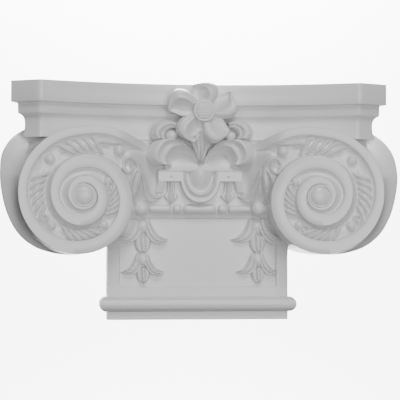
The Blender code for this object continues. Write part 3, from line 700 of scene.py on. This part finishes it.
relief("beam lip", 24, 12, slab(CENTRE - BEAM_HALF, CENTRE + BEAM_HALF, BEAM_TOP - 2.4, BEAM_TOP,
                                CUP_DEPTH + 1.5))
relief("shell", 64, 50, shell)
for sign, x in zip((-1, 1), DART_X):
    block = sorted((CENTRE + sign * 25, CENTRE + sign * BEAM_HALF))
    relief("beam block", 24, 16, slab(*block, BEAM_FOOT, BEAM_TOP, CUP_DEPTH))
    relief("dart", 24, 40, dart(x))
    ball("pin", x, 229.5, CUP_DEPTH, (2.4, 2.4, 2.4), 16)
    leg = [[(CENTRE + sign * 55, BEAM_FOOT + 1), (CENTRE + sign * 59.5, 204)],
           [(CENTRE + sign * BEAM_HALF, BEAM_FOOT + 1), (CENTRE + sign * 70.7, 204)]]
    leaf("leg", [at_depth(line, CUP_DEPTH, CUP_DEPTH - 4) for line in leg], (-1, 0, 0, 0, -1),
         8, 12, (0.01, 0.12))
print("solids with the cup", len(COLLECTED))

# %% [markdown]
# From each end of the bead row hangs a chain of two husks on the neck. A husk is a pair of
# fluted petals that fly outwards to points, the right one over the left, with a closed bud
# hanging from between them.

# %% Husks
# outer and inner line of each petal from the husk's top, and how much higher it lies
PETALS = ((((-12, -1), (-17.8, -15.5), (-24.7, -26), (-33, -32.5), (-42.7, -36.3)),
           ((2, -1.6), (2.5, -15.5), (-1.3, -28), (-9.8, -38), (-22.6, -41), (-35.4, -40),
            (-42.7, -37.5)), 0),
          (((12.6, -1.6), (16.9, -13.3), (24.3, -25), (32.9, -31.5), (43, -35.2)),
           ((2, -1), (3.5, -17.6), (9.4, -31.5), (17.9, -41), (29.7, -43.7), (39.3, -41.6),
            (43.3, -37.3)), 2))
BUD = (((-9, -29), (-12, -40), (-10, -50), (-3, -57), (0.6, -59.6)),
       ((2, -28), (3, -40), (4, -50), (3.5, -56), (2, -60)),
       ((13, -29), (15.5, -40), (13, -50), (7, -57), (3.4, -59.6)))
FLUTES = (0.5, 8, 11, 8, 6.5, 10, 12, 9, 8, 9, 6)


def neck_depth(x, z):
    """The panel's face, where the husks hang."""
    return NECK_DEPTH - PANEL_SINK + swell(x, z)


def husk(x, top, scale):
    """A bud, a cap over it and two petals."""
    def spot(points):
        return shifted(points, x, top, scale, scale)

    leaf("bud", [spot(line) for line in BUD], (0.5, 7, 9, 6, 9.5, 12, 8.5, 12, 9.5, 6, 8, 6, 0.5),
         36, 30, (0.05, 0.4), neck_depth)
    ball("husk cap", x + 1, top - 13 * scale, NECK_DEPTH - 2,
         (13.5 * scale, 14 * scale, 10.5), 24)
    for outer, inner, lift in PETALS:
        leaf("husk petal", [spot(outer), spot(inner)], [h + lift for h in FLUTES], 30, 24,
             (0.12, 0.35), neck_depth)


for x in (-91, 94.8):
    husk(x, 165, 1)
    husk(x + 1, 107, 0.83)
print("solids with the husks", len(COLLECTED))

# %% [markdown]
# Over the cup opens a palmette. Its ribs fan up to the flower, and on each side one leaf arches
# over and down to the beam while another, above it, rolls round a bud under the abacus. The
# lines carry their own depths here, since these leaves stand free of the hollow ground.

# %% Palmette
PALM_X = 2.5
PALM_INNER = ((4.8, 246), (10, 257), (19, 263.5), (31, 266), (39, 263.5), (44.5, 257.5),
              (46, 251), (45, 245))
PALM_CREST = ((4.8, 256), (12.7, 268.8), (20, 275.2), (32.7, 278.3), (45.4, 276), (53.4, 267.6),
              (57.4, 257.6), (53.7, 247.7))
PALM_OUTER = ((8, 262), (17, 274.5), (27, 281.5), (37.5, 283.8), (50.2, 285.4), (61.4, 280.7),
              (68.1, 272), (69.5, 262.4), (66.5, 253.7), (60.1, 247.7))
PALM_EDGE = ((9, 265), (18, 277), (30, 285), (45.5, 287.5), (60, 288.6), (74.3, 284.7),
             (83.8, 275.5), (87.5, 265.2), (84.2, 255.2), (74.2, 248.3), (64.5, 246.5))
FILLERS = ((-44, 297, 22, 16), (48, 297, 22, 16), (2.5, 286, 50, 24))  # the ground behind
UPPER = {-1: (((-36.6, 313.5), (-49.4, 317.8), (-62.1, 317.2), (-73.2, 311.6), (-78.4, 302),
               (-76.7, 292.5), (-70, 287.8), (-60.5, 288.1)),
              ((-37.6, 308.4), (-48, 311.5), (-57.5, 308.2), (-63.8, 300.2), (-63.8, 292.3),
               (-58.3, 286.8)),
              ((-38.6, 305), (-46.5, 305), (-53.6, 300.1), (-56, 293.8), (-54.4, 287.4)),
              (-45.2, 295, 8)),
         1: (((43.3, 314.2), (57.7, 319.1), (70.6, 317.6), (80.2, 311.3), (85.8, 301.7),
              (83.4, 292.1), (73.7, 288), (62.5, 288.7)),
             ((46.2, 310.7), (57.4, 312.4), (67, 307.7), (70.2, 299.7), (68.6, 291.7),
              (63.7, 287.7)),
             ((44.5, 306), (52, 306), (59, 301), (61, 295), (59, 288)),
             (48.7, 294.2, 7))}
RIBS = (((-0.5, 250), (-10, 272), (-19, 286), (-29, 294)),
        ((0.6, 249), (-7.9, 272.3), (-15.9, 285), (-25.5, 292)),
        ((1.6, 249), (-2.3, 269), (-5.5, 282), (-8.5, 294)),
        ((2.4, 249), (2.1, 269), (1.3, 288), (0.4, 302)),
        ((3.4, 249), (5.6, 269), (8, 282), (11.2, 292)),
        ((4.6, 249), (12.8, 272.4), (20.8, 283.6), (28.8, 290)),
        ((5.6, 250), (15, 273), (24, 285.5), (33, 291)))


def scoop(u, v):
    """The hollow under the arching leaves, which comes forward to the cup's ledge."""
    return PALM_X + (2 * u - 1) * 57, 238.5 + 31 * v, 85 - 14 * v ** 0.8


for sx in (-1, 1):
    def palm(points, *depths, sx=sx):
        return at_depth(shifted(points, PALM_X, 0, sx), *depths)

    leaf("palm hollow", [palm(PALM_INNER, 80, 79, 79, 80), palm(PALM_CREST, 88, 99, 101, 96)],
         (0, -3, -3.5, -1, 0.5), 18, 44, (0.01, 0.01))
    leaf("palm groove", [palm(PALM_CREST, 88, 99, 101, 96), palm(PALM_OUTER, 90, 104, 108, 98)],
         (0, -3.5, -5.5, -4, 0.5), 16, 50, (0.01, 0.1))
    leaf("palm edge", [palm(PALM_OUTER, 90, 104, 108, 98), palm(PALM_EDGE, 90, 96, 92, 90)],
         (0, 4, 5.5, 4, 0), 18, 50, (0.01, 0.1))
    outer, second, third, bud = UPPER[sx]
    leaf("upper leaf", [at_depth(outer, 98, 92, 90, 92), at_depth(second, 104, 106, 104, 98),
                        at_depth(third, 102, 102, 100, 94)],
         (0, 4.5, 6, 2, 5.5, 1, 4, 0), 36, 44, (0.01, 0.1))
    ball("upper bud", bud[0], bud[1], 90, (bud[2] + 2.5, bud[2] + 1, 10), 24)
for x, z, wide, tall in FILLERS:
    ball("palmette ground", x, z, 64, (wide, tall, 25), 30)
relief("scoop", 30, 16, scoop)
leaf("fan", [at_depth(rib, 82, 88, 96, 106) for rib in RIBS],
     (-2, 2, 5, 0, 5, 0, 6.5, 0, 5, 0, 5, 2, -2), 60, 30, (0.01, 0.01))
print("solids with the palmette", len(COLLECTED))

# %% [markdown]
# The abacus flower has five petals. Each is full and rounded on one side and hollow on the
# other, and its full side lies over its neighbour's hollow side, which makes the flower look
# as if it turned. The button in its middle is cross-hatched inside a plain ring.

# %% Flower
FLOWER = (5, 331.6)  # x and z of its middle
BUTTON_RADIUS = 13.5
HATCH = 4.4  # distance between the button's grooves
REACHES = (0.84, 1.09, 1, 1, 1)  # of the five petals, from the top one to the left
FULL_EDGE = ((8, -8), (20, -17), (35, -23), (50, -18), (54, -3), (50, 16.5))
FULL = ((9, -4), (21, -11), (35, -15), (47, -10), (51, 0), (49.5, 16.5))
PETAL_RIDGE = ((10, -1), (22, -5), (34, -6.5), (43, -1), (49, 16))
HOLLOW_EDGE = ((10, 6), (18, 12), (28, 17.5), (38, 17), (48.5, 17))
for k, reach in enumerate(REACHES):
    angle = math.radians(90 + 72 * k)

    def petal(points, *depths, angle=angle, reach=reach):
        across, up = reach * math.cos(angle), reach * math.sin(angle)
        turned = [(FLOWER[0] + p[0] * across - p[1] * math.sin(angle),
                   FLOWER[1] + p[0] * up + p[1] * math.cos(angle)) for p in points]
        return at_depth(turned, *depths)

    leaf("petal", [petal(FULL_EDGE, 106, 110, 110, 106), petal(FULL, 110, 117, 117, 108),
                   petal(PETAL_RIDGE, 110, 117, 118, 108), petal(HOLLOW_EDGE, 103, 104, 104, 107)],
         (0, 2.5, 3, 1.5, 0.5, 0, 0, -3, -6, -5, 0), 36, 36, (0.01, 0.01))


def button(u, v):
    """A dome squared off as a grid, with two sets of grooves across it."""
    a, b = 2 * u - 1, 2 * v - 1
    x = a * np.sqrt(1 - b * b / 2) * BUTTON_RADIUS
    z = b * np.sqrt(1 - a * a / 2) * BUTTON_RADIUS
    dome = 6 * np.sqrt(np.maximum(0, 1 - (x * x + z * z) / 240))
    hatch = 0.9 * abs(np.sin(math.pi * x / HATCH) * np.sin(math.pi * z / HATCH)) ** 0.4
    return FLOWER[0] + x, FLOWER[1] + z, 115 + dome + hatch


relief("button", 42, 42, button)
bpy.ops.mesh.primitive_torus_add(major_segments=64, minor_segments=12, major_radius=15.4 * MM,
                                 minor_radius=2.2 * MM, rotation=(math.pi / 2, 0, 0),
                                 location=spots(FLOWER[0], FLOWER[1], 116)[0])
bpy.ops.object.transform_apply(location=True, rotation=True, scale=True)
close_up(bpy.context.active_object)
bpy.ops.mesh.primitive_cone_add(vertices=48, radius1=24 * MM, radius2=15.5 * MM, depth=70 * MM,
                                rotation=(math.pi / 2, 0, 0),
                                location=spots(FLOWER[0], FLOWER[1], 80)[0])
bpy.ops.object.transform_apply(location=True, rotation=True, scale=True)
close_up(bpy.context.active_object)
print("solids in the casting", len(COLLECTED))

# %% [markdown]
# All these solids overlap, as clay does when a model is built up. One Boolean union makes the
# single casting of them, and a large box takes away all that would stand inside the wall. The
# faces are then smoothed by angle, so that only true arrises stay crisp.

# %% One casting
parts = bpy.data.collections.new("parts")
bpy.context.scene.collection.children.link(parts)
casting, *others = sorted(COLLECTED, key=lambda piece: piece.name != "neck")
for piece in others:
    for home in piece.users_collection:
        home.objects.unlink(piece)
    parts.objects.link(piece)
only(casting)
casting.name = "casting"
union = casting.modifiers.new("One casting", "BOOLEAN")
union.operation = "UNION"
union.operand_type = "COLLECTION"
union.collection = parts
union.solver = "MANIFOLD"
bpy.ops.object.modifier_apply(modifier=union.name)

bpy.ops.mesh.primitive_cube_add(size=1, location=(0, 0.25, 0), scale=(1, 0.5, 1))  # metres
wall = bpy.context.active_object
only(casting)
trim = casting.modifiers.new("Flat back", "BOOLEAN")
trim.object = wall
trim.solver = "MANIFOLD"
bpy.ops.object.modifier_apply(modifier=trim.name)
for piece in (wall, *others):
    bpy.data.objects.remove(piece)
only(casting)
bpy.ops.object.shade_smooth_by_angle(angle=math.radians(34))
casting.data.calc_loop_triangles()
print("triangles", len(casting.data.loop_triangles))
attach(casting, "root")
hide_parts("capital")

# %% [markdown]
# The skin is factory-primed: a satin off-white, a little greyer than paper, whose faint mirror
# lifts the faces that look at a light. Colours are written as sRGB hex and turned into Blender's
# linear values by one function. The only variation is a very faint unevenness of tone, in clouds
# about 110 mm wide, and the grain that sprayed primer leaves. That grain is a tenth of a
# millimetre wide and wouldn't show, so it is drawn at 0.7 mm.

# %% Primer
def shade_of(hex_colour):
    """Linear colour of an sRGB hex value."""
    levels = [int(hex_colour[i:i + 2], 16) / 255 for i in (1, 3, 5)]
    return (*(c / 12.92 if c < 0.04045 else ((c + 0.055) / 1.055) ** 2.4 for c in levels), 1)


def add_node(material, kind, inputs=(), **settings):
    """One shader node; inputs is a dict of socket names to values or other nodes' outputs."""
    node = material.node_tree.nodes.new(kind)
    for name, value in settings.items():
        setattr(node, name, value)
    for name, value in dict(inputs).items():
        if isinstance(value, bpy.types.NodeSocket):
            material.node_tree.links.new(value, node.inputs[name])
        else:
            node.inputs[name].default_value = value
    return node


def new_material(name, roughness):
    """A material and its shader."""
    material = bpy.data.materials.new(name)
    material.use_nodes = True
    shader = material.node_tree.nodes["Principled BSDF"]
    shader.inputs["Roughness"].default_value = roughness
    return material, shader


CLOUDS = 9.0  # for each metre
GRAIN = 1400.0
primer, shader = new_material("factory primer", 0.36)
place = add_node(primer, "ShaderNodeTexCoord").outputs["Object"]
cloud = add_node(primer, "ShaderNodeTexNoise", {"Vector": place, "Scale": CLOUDS, "Detail": 3.0})
tone = add_node(primer, "ShaderNodeMix", {"Factor": cloud.outputs["Fac"]}, data_type="RGBA")
tone.inputs["A"].default_value = shade_of("#EAEAEA")
tone.inputs["B"].default_value = shade_of("#F0F0F0")
grain = add_node(primer, "ShaderNodeTexNoise", {"Vector": place, "Scale": GRAIN, "Detail": 2.0})
bump = add_node(primer, "ShaderNodeBump", {"Height": grain.outputs["Fac"], "Strength": 0.12,
                                           "Distance": 0.05 * MM})
primer.node_tree.links.new(tone.outputs["Result"], shader.inputs["Base Color"])
primer.node_tree.links.new(bump.outputs["Normal"], shader.inputs["Normal"])
shader.inputs["Specular IOR Level"].default_value = 1.0

casting.data.materials.clear()
casting.data.materials.append(primer)
print("primer between", [round(c, 3) for c in shade_of("#EAEAEA")[:3]], "and #F0F0F0")

# %% [markdown]
# The capital is seen alone against white. A pale sheet hangs far behind it and curves forward
# into a floor well below it, so that no shadow of the piece falls on what the camera sees and
# little of the sheet's light comes back to the flanks.

# %% Stage
SHEET_MIDDLE = 0.4  # metres, as all that follows
SHEET_WIDTH = 4
BEND_RADIUS = 0.8
BEND_START = 4.2
FLOOR = -1.3
bpy.ops.mesh.primitive_grid_add(x_subdivisions=1, y_subdivisions=40, size=1)
sheet = bpy.context.active_object
sheet.name = "sheet"
flat = np.empty(len(sheet.data.vertices) * 3)
sheet.data.vertices.foreach_get("co", flat)
along = flat[1::3] + 0.5
bend = np.clip((along - 0.3) / 0.3, 0, 1) * math.pi / 2
x = SHEET_MIDDLE + flat[0::3] * SHEET_WIDTH
y = BEND_START + np.minimum(along - 0.3, 0) * 8 + BEND_RADIUS * np.sin(bend)
z = np.maximum(along - 0.6, 0) * 10 + BEND_RADIUS * (1 - np.cos(bend)) + FLOOR
sheet.data.vertices.foreach_set("co", np.column_stack((x, y, z)).ravel())
paper, shader = new_material("paper", 0.9)
shader.inputs["Base Color"].default_value = shade_of("#FAFAFA")
sheet.data.materials.append(paper)
only(sheet)
bpy.ops.object.shade_smooth()
print("sheet from y", round(min(y), 2), "to", round(max(y), 2))

# %% [markdown]
# The light is a wide soft box straight in front, which the satin primer mirrors faintly on
# every face that looks at the camera. A second box stands above, a weak one below, and a strong
# one lights only the sheet. Nothing bright stands on the left near the wall, so the left flank
# of each volute turns dark.

# %% Lights
def soft_light(name, energy, size, location, target=(0, 0, 0)):
    """A rectangular lamp that faces its target."""
    data = bpy.data.lights.new(name, "AREA")
    data.shape = "RECTANGLE"
    data.energy = energy
    data.size, data.size_y = size
    light = bpy.data.objects.new(name, data)
    light.location = location
    light.rotation_euler = (Vector(target) - Vector(location)).to_track_quat("-Z", "Y").to_euler()
    bpy.context.scene.collection.objects.link(light)
    print(name, energy, "W")


soft_light("front", 21, (1.3, 0.9), (0.19, -2.3, 0.1))
soft_light("overhead", 27, (0.7, 0.7), (0.12, -1.9, 1.7))
soft_light("low fill", 5, (0.8, 0.6), (0.3, -1.5, -1.6))
soft_light("sheet light", 2000, (3, 1), (0.4, 1.9, 3.2), (0.4, 5, 0.2))
world = bpy.data.worlds.new("surroundings")
world.use_nodes = True
world.node_tree.nodes["Background"].inputs["Color"].default_value = (1, 1, 1, 1)
world.node_tree.nodes["Background"].inputs["Strength"].default_value = 0.06
bpy.context.scene.world = world

# %% [markdown]
# The camera stands a little left of the middle and below it, some two metres away, and looks
# slightly up and to the right. That agrees with how much of the left flank and of the abacus's
# underside the photograph shows.

# %% Camera
YAW = math.radians(5.131)
PITCH = math.radians(2.245)
lens = bpy.data.cameras.new("camera")
lens.lens = 117.39
camera = bpy.data.objects.new("camera", lens)
camera.location = (-0.185, -2.1557, -0.0859)
look = Vector((math.sin(YAW) * math.cos(PITCH), math.cos(YAW) * math.cos(PITCH), math.sin(PITCH)))
camera.rotation_euler = look.to_track_quat("-Z", "Y").to_euler()
bpy.context.scene.collection.objects.link(camera)
bpy.context.scene.camera = camera
print("camera looks along", look)
